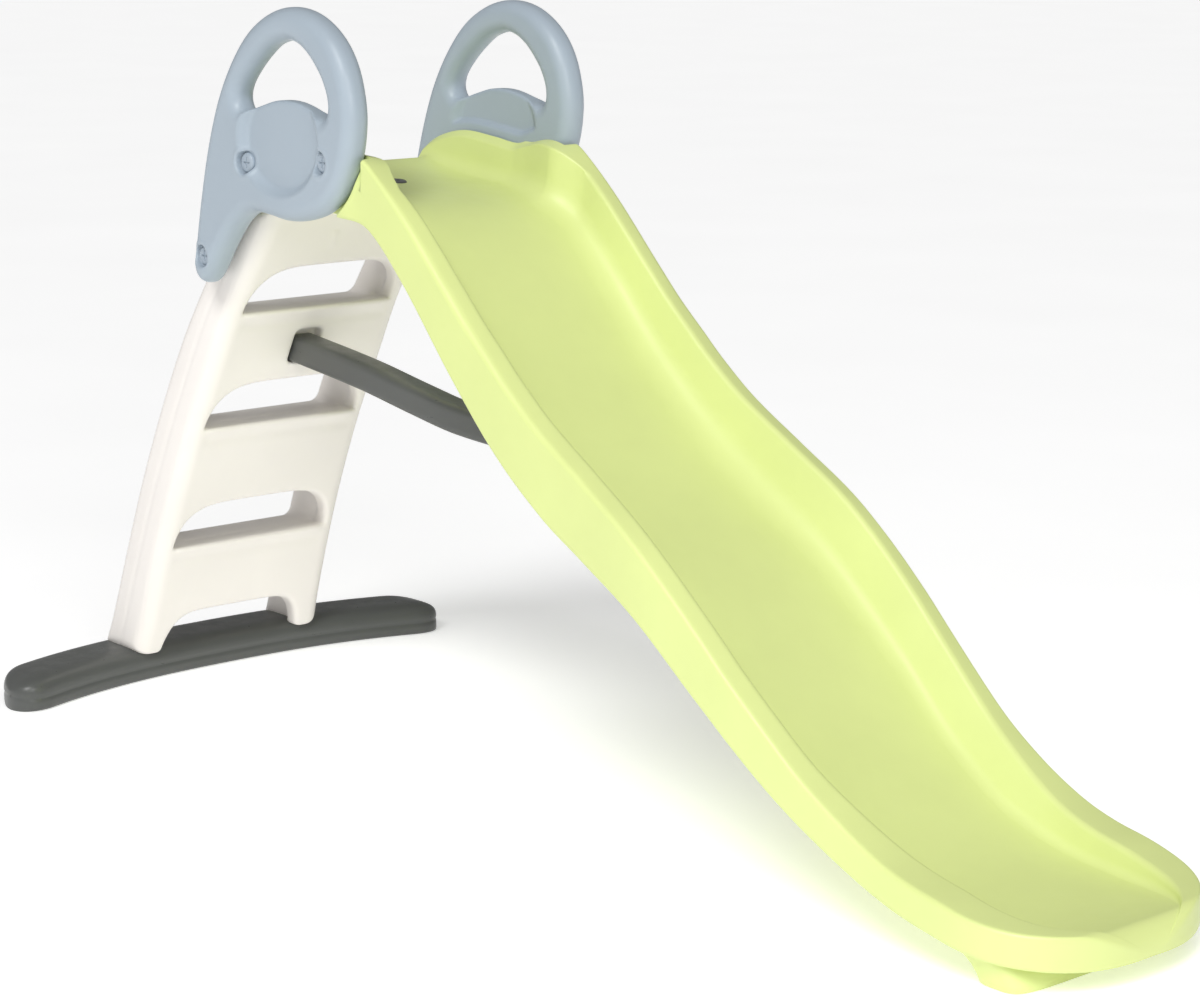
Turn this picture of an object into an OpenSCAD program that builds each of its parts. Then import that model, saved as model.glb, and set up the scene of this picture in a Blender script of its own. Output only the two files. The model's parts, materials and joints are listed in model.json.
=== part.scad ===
// Toddler slide: one chute, a ladder, two hand loops, a cross foot and a brace,
// held together with large moulded screws. Millimetres, +Z up.
// +X points down the slide. The origin is on the floor, under the middle of the slide.

/* [Chute] */
// Lowest end of the chute, forward of the ladder's datum
chute_end = 1960; // [1940:5:1980]
// Width of the flat band on top of each rail
rail_band = 34; // [26:1:42]
// Wall thickness of the rails
rail_wall = 4; // [3:0.5:5]
// Thickness of the sliding floor
floor_t = 6; // [5:0.5:8]

/* [Ladder] */
// Height of the lowest tread
tread_1 = 237; // [220:1:260]
// Height of the middle tread
tread_2 = 450; // [435:1:470]
// Height of the top tread
tread_3 = 648; // [635:1:660]
// Thickness of a tread
tread_t = 38; // [32:1:44]
// Thickness of the panel between two treads
panel_t = 28; // [24:1:34]
// Height of the opening above each tread
slot_h = 72; // [60:1:76]

/* [Hand loops] */
// Thickness of a hand loop
loop_t = 46; // [42:1:50]
// Depth of the dished face
dish_depth = 7; // [3:0.5:9]

/* [Cross foot] */
// Half length of the cross foot
foot_l = 427; // [400:1:440]
// Height of the cross foot
foot_h = 56; // [52:1:60]
// How far the ends sweep forward
foot_sweep = 80; // [40:5:100]

/* [Screws] */
// Radius of a screw's head
head_r = 15; // [12:0.5:16]
// Radius of a screw's shank
shank_r = 7; // [5:0.5:8]

/* [Hose inlet] */
// Radius of the hose spigot
spigot_r = 6.5; // [5:0.5:8]

/* [Hidden] */

lime = [0.82, 0.90, 0.52];
steel_blue = [0.66, 0.73, 0.79];
cream = [0.93, 0.91, 0.88];
charcoal = [0.30, 0.31, 0.30];

// The ladder's datum lies this far behind the middle of the whole slide
datum_x = -(chute_end - 168) / 2;
gap = 0.05;           // play between parts that touch
neck_w = 181;         // half width of the chute between the hand loops
ladder_top = 828;     // where the chute rests on the ladder
foot_d = 60;          // half depth of the cross foot
treads = [tread_1, tread_2, tread_3];
loop_y = neck_w + loop_t / 2 + gap;
loop_out = neck_w + loop_t + gap;
screw_seat = loop_out - dish_depth - 7;

// Profiles of the chute: distance forward, height
rim_line = [
  [292, 884], [345, 918], [405, 929], [530, 917], [595, 930], [650, 914], [740, 844],
  [880, 711], [1000, 611], [1135, 528], [1250, 457], [1380, 353], [1500, 247],
  [1600, 176], [1700, 128], [1800, 102], [1880, 86], [1960, 76]
];
floor_line = [
  [292, 874], [335, 881], [400, 870], [460, 861], [560, 851], [635, 834], [700, 796],
  [786, 720], [850, 655],
  [910, 600], [993, 532], [1079, 474], [1230, 386], [1380, 273], [1500, 176],
  [1600, 118], [1700, 82], [1800, 67], [1870, 66], [1960, 66]
];
skirt_line = [
  [292, 828.05], [600, 828.05], [660, 815], [740, 745], [850, 624], [950, 527], [1050, 456],
  [1130, 415], [1250, 353], [1370, 265], [1500, 168], [1600, 112], [1700, 72],
  [1790, 52], [1870, 42], [1960, 36]
];
// Half width of the chute: distance forward, half width
width_line = [
  [292, 180.9], [540, 180.9], [590, 204], [880, 206], [1036, 208], [1135, 211], [1260, 216],
  [1400, 213], [1520, 204], [1640, 199], [1960, 199]
];
corner_l = 170;       // length over which the far end rounds off
corner_p = 2.6;       // squareness of that rounding
end_stop = 0.3;       // the end face's width, as a share of the chute's
bar_l = 54;           // the solid bar across the far end

// Profiles of the ladder: height, distance forward
front_line = [
  [46, -33], [100, -12], [200, 25], [300, 66], [424, 124], [543, 188], [650, 248],
  [757, 325], [828, 378]
];
back_line = [[46, -147], [250, -71], [350, -31], [477, 30], [600, 99], [697, 166], [828, 262]];
// Half width of the ladder's front: height, half width
ladder_w = [[46, 184], [100, 179], [200, 176], [350, 172], [650, 168], [828, 165]];
slot_w = [150, 147, 142];
leg_gap = 140;        // half width of the arch between the legs
arch_top = 112;
leg_base = 46;
seat_r = 22;          // rounding of the ladder's upright edges

// Hand loop: outline and finger hole, both clockwise, distance forward and height
loop_line = [
  [227, 728], [234, 772], [250, 842], [272, 918], [302, 990], [340, 1048], [386, 1094],
  [440, 1122], [494, 1131], [548, 1121], [596, 1092], [628, 1050], [644, 996], [643, 950],
  [630, 905], [604, 864], [566, 836], [518, 821], [470, 817], [424, 822], [384, 822],
  [346, 802], [306, 760], [276, 721], [256, 704], [237, 708]
];
hole_line = [
  [482, 1082], [511, 1077], [536, 1063], [556, 1045], [573, 1024], [584, 998], [580, 977],
  [560, 975], [524, 987], [486, 994], [446, 993], [408, 984], [372, 975], [356, 988],
  [361, 1007], [382, 1030], [412, 1054], [444, 1073]
];
loop_screws = [[570, 910], [375, 897], [255, 746]];
dish_at = [464, 926];
dish_rx = 92;
dish_rz = 56;

// Brace: distance forward, height of its middle
brace_line = [[160, 578], [212, 573], [381, 552], [514, 530], [617, 515], [760, 508], [965, 508]];
brace_w = 46;
brace_hgt = 45;
socket_wall = 5;
brace_x0 = 160;
brace_x1 = 965;
brace_screw_x = 948;

foot_screws = [[-62, 162], [-122, 162]];
groove_z = 21;

inlet_x = 460;
inlet_r = 9;

// Value at x of a smooth curve through the points of t
function piece(t, x) = len([for (i = [1 : len(t) - 2]) if (x >= t[i][0]) i]);
function slope(t, i) =
  let (a = max(i - 1, 0), b = min(i + 1, len(t) - 1))
  (t[b][1] - t[a][1]) / (t[b][0] - t[a][0]);
function curve(t, x) =
  let (
    i = piece(t, x),
    h = t[i + 1][0] - t[i][0],
    u = min(max((x - t[i][0]) / h, 0), 1)
  )
  (2 * u ^ 3 - 3 * u ^ 2 + 1) * t[i][1] + (u ^ 3 - 2 * u ^ 2 + u) * h * slope(t, i)
  + (3 * u ^ 2 - 2 * u ^ 3) * t[i + 1][1] + (u ^ 3 - u ^ 2) * h * slope(t, i + 1);

// A closed smooth outline through the points p, with k points for each of them
function bend(a, b, c, d, u) =
  0.5 * (2 * b + (c - a) * u + (2 * a - 5 * b + 4 * c - d) * u ^ 2 + (3 * b - a - 3 * c + d) * u ^ 3);
function outline(p, k) =
  let (n = len(p))
  [for (i = [0 : n - 1], j = [0 : k - 1])
    bend(p[(i + n - 1) % n], p[i], p[(i + 1) % n], p[(i + 2) % n], j / k)];

// The outline p moved inwards by d; p runs clockwise
function inset(p, d) =
  let (n = len(p))
  [for (i = [0 : n - 1])
    let (t = p[(i + 1) % n] - p[(i + n - 1) % n]) p[i] + d * [t[1], -t[0]] / norm(t)];

// A solid through a row of rings that all have the same number of points.
// Seen from the first ring towards the last, the points run clockwise.
// Its ends are flat faces, or fans round the points in hubs, one for each end.
module loft(rings, hubs = []) {
  n = len(rings[0]);
  m = len(rings);
  sides = [
    for (j = [0 : m - 2], i = [0 : n - 1])
      let (a = j * n + i, b = j * n + (i + 1) % n)
      each [[a, a + n, b], [b, a + n, b + n]]
  ];
  flat_ends = [[for (i = [0 : n - 1]) i], [for (i = [n - 1 : -1 : 0]) (m - 1) * n + i]];
  fans = [
    for (i = [0 : n - 1]) let (j = (i + 1) % n, k = (m - 1) * n)
      each [[n * m, i, j], [n * m + 1, k + j, k + i]]
  ];
  polyhedron(concat([for (r = rings) each r], hubs), concat(sides, len(hubs) > 0 ? fans : flat_ends));
}

module both_sides() {
  children();
  mirror([0, 1, 0]) children();
}

module from_datum() translate([datum_x, 0, 0]) children();

// ---- chute ----

function corner(x) =
  let (u = min(max((x - chute_end + corner_l) / corner_l, 0), 0.9999))
  max((1 - u ^ corner_p) ^ (1 / corner_p), end_stop);
function half_w(x) = curve(width_line, x) * corner(x);
function rim_z(x) = curve(rim_line, x);
function floor_z(x) = curve(floor_line, x);
function skirt_z(x) = curve(skirt_line, x);
function cove(x) = min(45, max(rim_z(x) - floor_z(x) - 6, 4));
function wall_y(x) = half_w(x) - rail_band * corner(x) - 8;
function bed_y(x) = max(wall_y(x) - cove(x), 8);

function is_bar(x) = x < 300 || x > chute_end - bar_l;

// Right half of the chute's section, from under the middle round to the top of the floor.
// Each rail is open below; the two ends are solid bars.
function half_section(x) =
  let (
    w = half_w(x), r = rim_z(x), f = floor_z(x), s = skirt_z(x), c = cove(x), t = rail_wall,
    yw = wall_y(x), yb = bed_y(x),
    u = is_bar(x) ? s + 0.5 : f - floor_t,
    top = is_bar(x) ? s + 0.5 : r - t,
    k = is_bar(x) ? 0 : 1,
    q = (w - yw - 2 * t) / 4
  )
  concat(
    [[yb, u], [yw - c * 0.3, u + k * c * 0.3], [yw + t, u + k * (c + 1)]],
    [[yw + t + q, top], [w - t - q, top], [w - t - (1 - k), top - k * 12], [w - t, s]],
    [[w - 1.5, s], [w, s + 2], [w, r - 16], [w - 1.5, r - 7], [w - 8, r - 2]],
    [[yw + 15, r], [yw + 10, r - 2], [yw + 7, r - 7]],
    [for (a = [90 : -22.5 : 0]) [yw - c + c * sin(a), f + c * (1 - cos(a))]]
  );

function full_section(x, half) =
  let (n = len(half))
  concat(
    [for (i = [n - 1 : -1 : 0]) [x, -half[i][0], half[i][1]]],
    [for (p = half) [x, p[0], p[1]]]
  );

chute_stations = concat(
  [292, 299, 301, 330, 350, 380, 420, 485, 535, 552, 570, 588, 612, 645],
  [for (x = [690 : 50 : 1790]) x],
  [1820, 1850, 1875, 1890, chute_end - bar_l - 0.5, chute_end - bar_l + 0.5],
  [1920, 1932, 1943, 1952, chute_end]
);

// Room for the lower front of a hand loop, beside the neck
module handhold_clearance() {
  both_sides()
    translate([0, neck_w, 0]) mirror([0, 1, 0]) rotate([90, 0, 0])
      linear_extrude(loop_t + 10) polygon(inset(loop_line, -2));
}

module chute_foot() {
  foot_ring = [for (a = [0 : 20 : 340]) [
    1835 + 52 * sign(cos(a)) * abs(cos(a)) ^ 0.5, 150 * sign(sin(a)) * abs(sin(a)) ^ 0.35]];
  linear_extrude(64) polygon(foot_ring);
}

module brace_socket_block() {
  x0 = brace_x1 - 50;
  x1 = brace_x1 + 7;
  translate([0, brace_w / 2 + socket_wall, 0]) rotate([90, 0, 0])
    linear_extrude(brace_w + 2 * socket_wall) polygon([
      [x0, 480], [x0, floor_z(x0) - 3], [x1, floor_z(x1) - 3], [x1, 480]]);
}

module chute() {
  color(lime) from_datum() difference() {
    union() {
      loft([for (x = chute_stations) full_section(x, half_section(x))]);
      chute_foot();
      brace_socket_block();
      for (p = [loop_screws[0], loop_screws[1]])
        both_sides() translate([p[0], 142, p[1]]) rotate([-90, 0, 0])
          cylinder(h = 37, r = shank_r + 5, $fn = 48);
    }
    handhold_clearance();
    brace_pocket(0.2);
    for (p = [loop_screws[0], loop_screws[1]])
      both_sides() translate([p[0], 152, p[1]]) rotate([-90, 0, 0])
        cylinder(h = 60, r = shank_r + gap, $fn = 48);
    translate([brace_screw_x, 0, 470]) cylinder(h = 20, r = shank_r + gap, $fn = 48);
    at_inlet() translate([0, 0, -20]) cylinder(h = 40, r = inlet_r + gap, $fn = 48);
  }
}

// ---- ladder ----

function ladder_ring(z) =
  let (
    f = curve(front_line, z), b = curve(back_line, z), w = curve(ladder_w, z), r = seat_r,
    right = concat(
      [for (a = [0, 30, 60, 90]) [f - r + r * cos(a), w - r + r * sin(a)]],
      [[(f + b) / 2 + 8, w + 1], [(f + b) / 2, w + 5], [(f + b) / 2 - 8, w + 1]],
      [for (a = [0, 30, 60, 90]) [b + r - r * sin(a), w - r + r * cos(a)]]
    ),
    n = len(right)
  )
  concat(
    [for (p = right) [p[0], p[1], z]],
    [for (i = [n - 1 : -1 : 0]) [right[i][0], -right[i][1], z]]
  );

module ladder_body() {
  loft([for (z = [leg_base, 80, 120, 180, 240, 300, 370, 440, 510, 580, 650, 720, 780, ladder_top])
    ladder_ring(z)]);
}

// Space above a tread, open to the back, where the toes go
module toe_room(low, high, w) {
  front = [for (i = [0 : 3])
    let (z = low + (high - low) * i / 3) [curve(front_line, z) - panel_t, z]];
  rotate([90, 0, 0]) translate([0, 0, -w]) linear_extrude(2 * w)
    polygon(concat([[-400, low]], front, [[-400, high]]));
}

// Arched opening: half width w, height h, squareness p
module arch(w, h, p) {
  k = 7;
  shape = concat(
    [[-w, 0]],
    [for (i = [1 - k : k - 1])
      let (y = w * sin(90 * i / k)) [y, h * (1 - abs(y / w) ^ p) ^ 0.5]],
    [[w, 0]]
  );
  rotate([90, 0, 90]) linear_extrude(150) polygon(shape);
}

// Openings through the panel: one above each tread, and the arch between the legs
module ladder_openings() {
  for (i = [0 : 2]) {
    top = i < 2 ? treads[i + 1] - tread_t : ladder_top - tread_t;
    toe_room(treads[i], top, slot_w[i] + 2);
    translate([curve(front_line, treads[i]) - panel_t - 40, 0, treads[i] + 0.1])
      arch(slot_w[i], slot_h, 5);
  }
  toe_room(-20, treads[0] - tread_t, leg_gap + 6);
  translate([-120, 0, -10]) arch(leg_gap, arch_top + 10, 7);
}

module tread_ribs() {
  for (i = [0 : 2], j = [0 : 3]) {
    x = curve(back_line, treads[i]) + 22 + 18 * j;
    translate([x, -0.7 * slot_w[i], treads[i] - 1]) cube([5, 1.4 * slot_w[i], 2.5]);
  }
}

module ladder() {
  color(cream) from_datum() difference() {
    union() {
      difference() {
        ladder_body();
        ladder_openings();
      }
      tread_ribs();
      translate([brace_x0 - socket_wall, -brace_w / 2 - socket_wall, 545])
        cube([30, brace_w + 2 * socket_wall, 62]);
      both_sides() translate([loop_screws[2][0], 150, loop_screws[2][1]])
        rotate([-90, 0, 0]) cylinder(h = neck_w - 150, r = 20, $fn = 48);
    }
    brace_pocket(0.2);
    both_sides() translate([loop_screws[2][0], 140, loop_screws[2][1]])
      rotate([-90, 0, 0]) cylinder(h = 60, r = shank_r + gap, $fn = 48);
    for (p = foot_screws)
      both_sides() translate([p[0], p[1], leg_base - 1])
        cylinder(h = 24, r = shank_r + gap, $fn = 48);
    translate([brace_x0 - 20, 0, 576]) rotate([0, 90, 0])
      cylinder(h = 40, r = shank_r + gap, $fn = 48);
  }
}

// ---- hand loops ----

function loop_rings(p, edge) = [
  for (s = edge) [for (q = inset(p, s[1])) [q[0], s[0], q[1]]]
];
half_t = loop_t / 2;
loop_edge = [
  [-half_t, 10], [4 - half_t, 4], [12 - half_t, 1], [half_t - 12, 1], [half_t - 4, 4], [half_t, 10]
];
hole_edge = [for (s = loop_edge) [s[0] * 1.04, -s[1]]];

module dish() {
  ring = [for (a = [0 : 15 : 345]) dish_at + [dish_rx * cos(a), dish_rz * sin(a)]];
  rotate([90, 0, 0]) translate([0, 0, -half_t - 1]) linear_extrude(dish_depth + 1) polygon(ring);
}

// The loop on the left, about its own middle plane, outer face towards +Y
module loop_shape() {
  difference() {
    loft(loop_rings(outline(loop_line, 2), loop_edge), [[370, -half_t, 880], [370, half_t, 880]]);
    loft(loop_rings(outline(hole_line, 2), hole_edge));
    dish();
    for (p = loop_screws)
      translate([p[0], 0, p[1]]) rotate([-90, 0, 0]) {
        cylinder(h = loop_t + 2, r = shank_r + 0.5, center = true, $fn = 48);
        translate([0, 0, screw_seat - loop_y]) cylinder(h = 20, r = head_r + 1, $fn = 48);
      }
  }
}

module hand_loop_left() {
  color(steel_blue) from_datum() translate([0, loop_y, 0]) loop_shape();
}

module hand_loop_right() {
  color(steel_blue) from_datum() mirror([0, 1, 0]) translate([0, loop_y, 0]) loop_shape();
}

// ---- cross foot ----

function foot_fade(y, l) =
  let (u = min(max((abs(y) - l + 60) / 60, 0), 1)) max(sqrt(1 - u * u), 0.12);
function foot_mid(y) = foot_d - 168 + foot_sweep * (abs(y) / foot_l) ^ 2.4;
function foot_ring(y) =
  let (e = foot_fade(y, foot_l), w = foot_d * e, h = foot_h * (0.55 + 0.45 * e), c = foot_mid(y))
  [
    for (p = concat(
      [[w * 0.84, 0], [w - 1, 8], [w, groove_z - 3], [w - 2.5, groove_z], [w, groove_z + 3]],
      [for (a = [20 : 20 : 160])
        [w * sign(cos(a)) * abs(cos(a)) ^ 0.6, groove_z + 3 + (h - groove_z - 3) * sin(a) ^ 0.8]],
      [[-w, groove_z + 3], [2.5 - w, groove_z], [-w, groove_z - 3], [1 - w, 8], [-w * 0.84, 0]]
    )) [c + p[0], y, p[1]]
  ];

module foot_body() {
  half = [foot_l, foot_l - 4, foot_l - 12, foot_l - 28, foot_l - 60, foot_l - 110, 250, 170, 90];
  n = len(half);
  ys = concat(half, [0], [for (i = [n - 1 : -1 : 0]) -half[i]]);
  loft([for (y = ys) foot_ring(y)]);
}

// Pockets that the ladder's legs stand in
module leg_seats() {
  both_sides() translate([-152, leg_gap - 5, leg_base - gap]) cube([124, 54, 60]);
}

module cross_foot() {
  color(charcoal) from_datum() difference() {
    foot_body();
    leg_seats();
    for (p = foot_screws)
      both_sides() translate([p[0], p[1], -1]) {
        cylinder(h = 80, r = shank_r + 0.5, $fn = 48);
        cylinder(h = 13, r = head_r + 2, $fn = 48);
      }
  }
}

// ---- brace ----

function brace_ring(x) =
  let (c = curve(brace_line, x), w = brace_w / 2, h = brace_hgt / 2, r = 8)
  [for (q = [[1, 1], [1, -1], [-1, -1], [-1, 1]], a = [0, 30, 60, 90])
    let (t = q[0] * q[1] > 0 ? 90 - a : a)
    [x, q[0] * (w - r + r * cos(t)), c + q[1] * (h - r + r * sin(t))]];

module brace_body() {
  n = 16;
  loft([for (i = [0 : n]) brace_ring(brace_x1 + (brace_x0 - brace_x1) * i / n)]);
}

// The space that each end of the brace slides into
module brace_pocket(d) {
  hull_w = brace_w / 2 + d;
  z0 = curve(brace_line, brace_x0);
  z1 = curve(brace_line, brace_x0 + 45);
  rotate([90, 0, 0]) translate([0, 0, -hull_w]) linear_extrude(2 * hull_w) polygon([
    [brace_x0 - d, z0 - 23], [brace_x0 - d, z0 + 23],
    [brace_x0 + 45, z1 + 23], [brace_x0 + 45, z1 - 23]]);
  translate([brace_x1 - 80, -hull_w, 508 - brace_hgt / 2 - d])
    cube([80 + d, 2 * hull_w, brace_hgt + 2 * d]);
}

module brace() {
  color(charcoal) from_datum() difference() {
    brace_body();
    translate([brace_x0 - 1, 0, 576]) rotate([0, 90, 0])
      cylinder(h = 40, r = shank_r + gap, $fn = 48);
    translate([brace_screw_x, 0, 470]) cylinder(h = 40, r = shank_r + gap, $fn = 48);
  }
}

// ---- screws ----

// Moulded screw with its head's underside at z = 0 and its shank along -Z
module screw(length) {
  head_h = 6;
  difference() {
    rotate_extrude($fn = 64) polygon([
      [0, -length], [shank_r - 3, -length], [shank_r, 4 - length], [shank_r, 0],
      [head_r, 0], [head_r, head_h - 2], [head_r - 3, head_h], [0, head_h + 1]
    ]);
    for (a = [0, 90]) rotate([0, 0, a])
      translate([-8, -1.6, head_h - 3.5]) cube([16, 3.2, 6]);
  }
}

// side is 1 on the left and -1 on the right
module loop_screw(i, side) {
  p = loop_screws[i];
  color(steel_blue) from_datum()
    translate([p[0], side * screw_seat, p[1]]) rotate([-90 * side, 0, 0]) screw(screw_seat - 156);
}

module foot_screw(i, side) {
  p = foot_screws[i];
  color(charcoal) from_datum() translate([p[0], side * p[1], 12]) mirror([0, 0, 1]) screw(52);
}

module brace_screw_ladder() {
  color(charcoal) from_datum() translate([brace_x0 - socket_wall, 0, 576])
    rotate([0, -90, 0]) screw(30);
}

module brace_screw_chute() {
  color(charcoal) from_datum() translate([brace_screw_x, 0, 480])
    mirror([0, 0, 1]) screw(26);
}

// ---- hose inlet ----

// On the sliding floor, square to it
module at_inlet() {
  tilt = atan((floor_z(inlet_x - 10) - floor_z(inlet_x + 10)) / 20);
  translate([inlet_x, 0, floor_z(inlet_x)]) rotate([0, tilt, 0]) children();
}

module hose_inlet() {
  color(charcoal) from_datum() at_inlet()
    rotate_extrude($fn = 64) difference() {
      polygon([
        [0, -52], [spigot_r, -52], [spigot_r, -26], [inlet_r, -24], [inlet_r, 0],
        [14, 0], [14, 1], [12, 2.5], [0, 2.5]
      ]);
      translate([0, -60]) square([3, 70]);
    }
}

// A flat ring round the inlet, from z = -low up by h
module inlet_ring(low, h, r, sides) {
  from_datum() at_inlet() translate([0, 0, -low]) difference() {
    cylinder(h = h, r = r, $fn = sides);
    translate([0, 0, -1]) cylinder(h = h + 2, r = inlet_r + gap, $fn = 64);
  }
}

module inlet_washer() color([0.1, 0.1, 0.1]) inlet_ring(floor_t + 3.4, 3, 15, 64);

module inlet_nut() color(charcoal) inlet_ring(floor_t + 11.4, 8, 16, 6);

chute();
ladder();
hand_loop_left();
hand_loop_right();
cross_foot();
brace();
loop_screw(0, 1);  // loop_screw_front_left
loop_screw(0, -1);  // loop_screw_front_right
loop_screw(1, 1);  // loop_screw_rear_left
loop_screw(1, -1);  // loop_screw_rear_right
loop_screw(2, 1);  // loop_screw_tail_left
loop_screw(2, -1);  // loop_screw_tail_right
foot_screw(0, 1);  // foot_screw_front_left
foot_screw(0, -1);  // foot_screw_front_right
foot_screw(1, 1);  // foot_screw_rear_left
foot_screw(1, -1);  // foot_screw_rear_right
brace_screw_ladder();
brace_screw_chute();
hose_inlet();
inlet_nut();
inlet_washer();
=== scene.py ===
"""A toddler slide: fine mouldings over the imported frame, with a studio floor and light."""
import json
import math

import bpy
import numpy as np
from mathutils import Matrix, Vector


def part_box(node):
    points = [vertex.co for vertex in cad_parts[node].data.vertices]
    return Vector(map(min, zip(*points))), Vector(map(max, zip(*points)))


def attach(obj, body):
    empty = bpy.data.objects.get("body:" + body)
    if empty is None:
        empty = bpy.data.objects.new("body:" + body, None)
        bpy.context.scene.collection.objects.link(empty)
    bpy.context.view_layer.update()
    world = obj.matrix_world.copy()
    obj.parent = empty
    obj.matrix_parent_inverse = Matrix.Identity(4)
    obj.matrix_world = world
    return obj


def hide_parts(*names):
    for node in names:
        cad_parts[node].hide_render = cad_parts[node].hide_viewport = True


MM = 0.001

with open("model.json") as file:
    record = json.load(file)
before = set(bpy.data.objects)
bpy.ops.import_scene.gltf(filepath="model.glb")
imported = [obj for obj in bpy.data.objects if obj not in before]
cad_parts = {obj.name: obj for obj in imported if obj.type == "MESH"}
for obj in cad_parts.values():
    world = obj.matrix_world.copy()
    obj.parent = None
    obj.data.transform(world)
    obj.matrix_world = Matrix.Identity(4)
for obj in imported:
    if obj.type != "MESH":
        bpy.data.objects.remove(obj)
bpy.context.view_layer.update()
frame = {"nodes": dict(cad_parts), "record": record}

# Profiles are in millimetres from the ladder's datum, which is DATUM_X along +X in the frame.
CHUTE_START, CHUTE_END = 292, 1960.0
DATUM_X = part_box("chute")[1].x / MM - CHUTE_END
LOOP_LOW, LOOP_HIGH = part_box("hand_loop_left")
LOOP_MID = (LOOP_LOW.y + LOOP_HIGH.y) / 2 / MM
LOOP_T = (LOOP_HIGH.y - LOOP_LOW.y) / MM
FOOT_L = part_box("cross_foot")[1].y / MM
FOOT_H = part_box("cross_foot")[1].z / MM
BRACE_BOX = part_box("brace")


# ---------------------------------------------------------------- curves

def table(points):
    """A smooth function through the points of a table."""
    p = np.array(points, float)
    x, y = p[:, 0], p[:, 1]
    lo = np.maximum(np.arange(len(x)) - 1, 0)
    hi = np.minimum(np.arange(len(x)) + 1, len(x) - 1)
    m = (y[hi] - y[lo]) / (x[hi] - x[lo])

    def at(v):
        v = np.asarray(v, float)
        i = np.clip(np.searchsorted(x, v, side="right") - 1, 0, len(x) - 2)
        h = x[i + 1] - x[i]
        u = np.clip((v - x[i]) / h, 0, 1)
        return (
            (2 * u**3 - 3 * u**2 + 1) * y[i]
            + (u**3 - 2 * u**2 + u) * h * m[i]
            + (3 * u**2 - 2 * u**3) * y[i + 1]
            + (u**3 - u**2) * h * m[i + 1]
        )

    return at


def outline(points, k):
    """A closed smooth outline through the points, with k points for each."""
    p = np.array(points, float)
    a, b, c, d = np.roll(p, 1, 0), p, np.roll(p, -1, 0), np.roll(p, -2, 0)
    out = []
    for j in range(k):
        u = j / k
        out.append(0.5 * (2 * b + (c - a) * u + (2 * a - 5 * b + 4 * c - d) * u**2
                          + (3 * b - a - 3 * c + d) * u**3))
    return np.stack(out, 1).reshape(-1, 2)


def smooth_step(lo, hi, v):
    u = np.clip((v - lo) / (hi - lo), 0, 1)
    return u * u * (3 - 2 * u)


def smooth_max(a, b, k):
    h = np.clip(0.5 - 0.5 * (b - a) / k, 0, 1)
    return b + (a - b) * h + k * h * (1 - h)


def smooth_min(a, b, k):
    return -smooth_max(-a, -b, k)


def bump_at(v, centre, width):
    return np.exp(-(((v - centre) / width) ** 2))


def squared(v, power):
    """A power that keeps the sign; below 1 it turns a circle into a rounded square."""
    return np.sign(v) * np.abs(v) ** power


def circle(n):
    return np.linspace(0, 2 * math.pi, n, endpoint=False)


def polygon_distance(poly, x, y):
    """Signed distance to a closed polygon, negative inside."""
    best = np.full(x.shape, 1e18)
    inside = np.zeros(x.shape, bool)
    for a, b in zip(poly, np.roll(poly, -1, 0)):
        ex, ey = b - a
        wx, wy = x - a[0], y - a[1]
        t = np.clip((wx * ex + wy * ey) / (ex * ex + ey * ey), 0, 1)
        best = np.minimum(best, (wx - t * ex) ** 2 + (wy - t * ey) ** 2)
        crosses = (a[1] > y) != (b[1] > y)
        if ey:
            inside ^= crosses & (x < ex * (y - a[1]) / ey + a[0])
    return np.where(inside, -1, 1) * np.sqrt(best)


def rounded(a, b, r):
    """The overlap of two distances with its edge rounded to radius r."""
    p, q = np.maximum(a + r, 0), np.maximum(b + r, 0)
    return np.sqrt(p * p + q * q) + np.minimum(np.maximum(a + r, b + r), 0) - r


# ---------------------------------------------------------------- meshes

def make_piece(name, verts, faces, node, slot):
    """A shown piece in place of a CAD node; verts are millimetres from the ladder's datum."""
    co = (np.asarray(verts, float) + [DATUM_X, 0, 0]) * MM
    mesh = bpy.data.meshes.new(name)
    mesh.vertices.add(len(co))
    mesh.vertices.foreach_set("co", co.ravel())
    faces = np.asarray(faces, np.int32)
    sides = faces.shape[1]
    mesh.loops.add(faces.size)
    mesh.loops.foreach_set("vertex_index", faces.ravel())
    mesh.polygons.add(len(faces))
    mesh.polygons.foreach_set("loop_start", np.arange(0, faces.size, sides, dtype=np.int32))
    mesh.polygons.foreach_set("loop_total", np.full(len(faces), sides, np.int32))
    mesh.polygons.foreach_set("use_smooth", np.ones(len(faces), bool))
    mesh.update(calc_edges=True)
    mesh.validate()
    piece = bpy.data.objects.new(name, mesh)
    bpy.context.scene.collection.objects.link(piece)
    mesh.materials.append(SLOT_MATERIALS[slot])
    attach(piece, "root")
    if node:
        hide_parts(node)
    return piece


def make_pair(mesh, centre, node, ending, slot):
    """A piece on the left and its mirror image on the right, for node_left and node_right."""
    verts, quads = mesh
    x, y, z = centre
    pair = []
    for side, hand in ((1, "left"), (-1, "right")):
        placed = verts * [1, side, 1] + [x, side * y, z]
        name = node + "_" + hand
        pair.append(make_piece(name + ending, placed, quads[:, ::side], name, slot))
    return pair


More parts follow.
